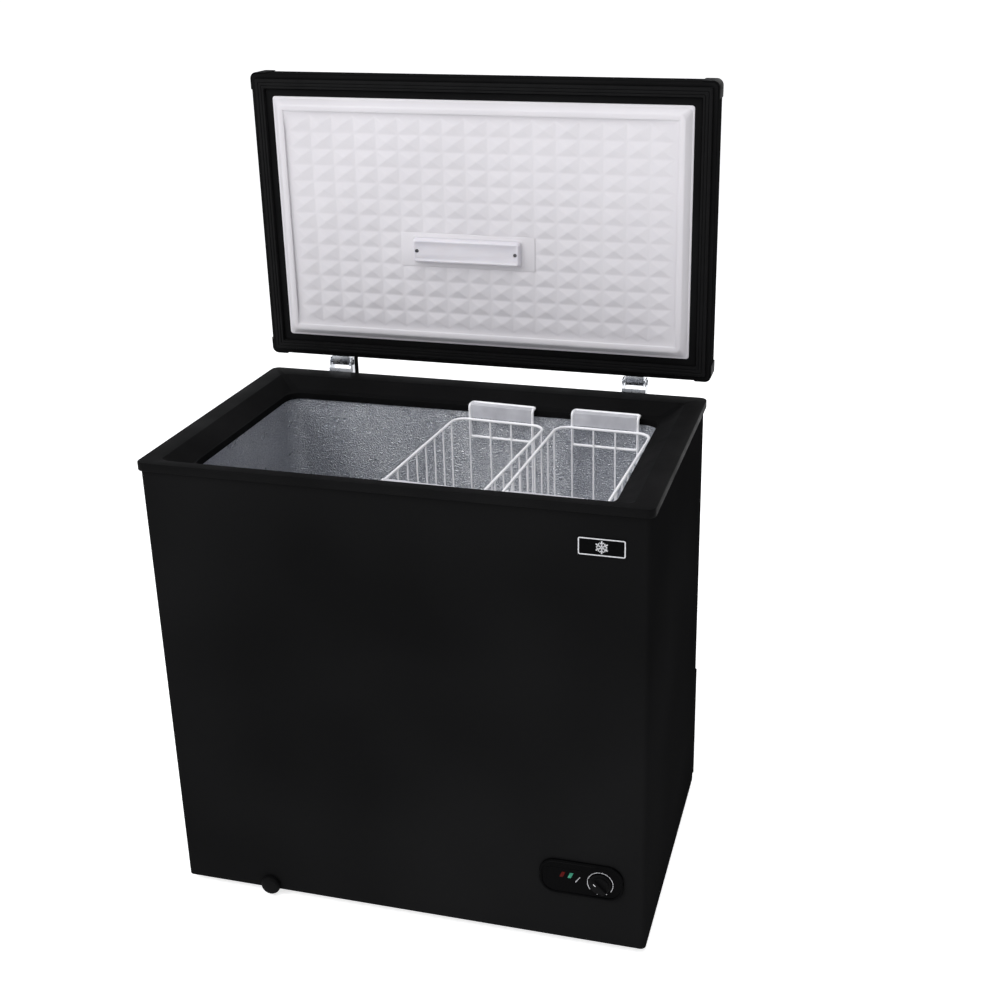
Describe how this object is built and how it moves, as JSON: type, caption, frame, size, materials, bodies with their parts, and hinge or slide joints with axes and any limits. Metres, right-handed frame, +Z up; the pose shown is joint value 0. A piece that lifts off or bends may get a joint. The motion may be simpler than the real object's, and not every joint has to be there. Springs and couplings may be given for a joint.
{
  "type": "chest freezer",
  "caption": "Black chest freezer with an upright open lid on sprung hinges, aluminium tub, hanging wire baskets, thermostat knob and drain plug.",
  "frame": {"origin": "on the floor, under the middle of the overall box with the lid open", "axes": "+X to the right seen from the front, +Y towards the hinges, +Z up"},
  "size_m": [0.8392, 0.574, 1.3426],
  "materials": {
    "black_paint": "satin",
    "black_plastic": "satin",
    "black_rubber": "matte",
    "white_plastic": "satin",
    "stucco_aluminium": "satin",
    "zinc_steel": "satin",
    "coated_wire": "satin",
    "foam": "matte",
    "copper": "satin",
    "compressor_paint": "satin",
    "red_lens": "gloss",
    "green_lens": "gloss",
    "frosted_lens": "satin"
  },
  "bodies": {
    "cabinet": {"outer_wrap": "black_paint", "rear_panel": "black_paint", "base_pan": "black_paint", "rim_collar": "black_plastic", "bay_grille": "black_plastic", "drain_tube": "black_plastic", "start_relay_box": "black_plastic", "control_bezel": "black_plastic", "foot_front_left": "black_rubber", "foot_front_right": "black_rubber", "foot_rear_left": "black_rubber", "foot_rear_right": "black_rubber", "compressor_grommet_1": "black_rubber", "compressor_grommet_2": "black_rubber", "compressor_grommet_3": "black_rubber", "compressor_grommet_4": "black_rubber", "cord_gland": "black_rubber", "lead_grommet": "black_rubber", "lamp_lead": "black_rubber", "tub_liner": "stucco_aluminium", "hinge_bracket_left": "zinc_steel", "hinge_bracket_right": "zinc_steel", "hinge_pin_left": "zinc_steel", "hinge_pin_right": "zinc_steel", "hinge_spring_left": "zinc_steel", "hinge_spring_right": "zinc_steel", "compressor_mount": "zinc_steel", "thermostat_body": "zinc_steel", "badge_plate": "zinc_steel", "insulation_foam": "foam", "evaporator_tube": "copper", "condenser_tube": "copper", "suction_tube": "copper", "filter_drier": "copper", "compressor": "compressor_paint", "power_lamp_red": "red_lens", "run_lamp_green": "green_lens"},
    "lid": {"lid_shell": "black_paint", "lid_frame": "black_plastic", "lid_gasket": "black_rubber", "lid_inner_panel": "white_plastic", "lid_foam": "foam", "lamp_base": "white_plastic", "lamp_lens": "frosted_lens", "lamp_screw_1": "zinc_steel", "lamp_screw_2": "zinc_steel", "lid_cap_front_left": "black_plastic", "lid_cap_front_right": "black_plastic", "lid_cap_rear_left": "black_plastic", "lid_cap_rear_right": "black_plastic", "hinge_leaf_left": "zinc_steel", "hinge_leaf_right": "zinc_steel"},
    "knob": {"thermostat_knob": "black_plastic"},
    "left_basket": {"basket_left": "coated_wire", "basket_left_grip_back": "white_plastic", "basket_left_grip_front": "white_plastic"},
    "right_basket": {"basket_right": "coated_wire", "basket_right_grip_back": "white_plastic", "basket_right_grip_front": "white_plastic"},
    "plug": {"drain_plug": "black_plastic"}
  },
  "joints": [
    {"name": "lid_hinge", "type": "hinge", "parent": "cabinet", "child": "lid", "pos_m": [0, 0.25265, 0.812], "axis": [-1, 0, 0], "range_deg": [-90, 0], "stiffness_Nm_per_rad": 5.4, "springref_deg": 16.04, "deforming": ["lamp_lead"]},
    {"name": "thermostat_turn", "type": "hinge", "parent": "cabinet", "child": "knob", "pos_m": [0.3365, -0.27435, 0.131], "axis": [0, 1, 0], "range_deg": [-96, 204]},
    {"name": "basket_left_lift", "type": "slide", "parent": "cabinet", "child": "left_basket", "axis": [0, 0, 1], "range_m": [0, 0.4]},
    {"name": "basket_right_lift", "type": "slide", "parent": "cabinet", "child": "right_basket", "axis": [0, 0, 1], "range_m": [0, 0.4]},
    {"name": "drain_plug_pull", "type": "slide", "parent": "cabinet", "child": "plug", "axis": [0, -1, 0], "range_m": [0, 0.045]}
  ]
}
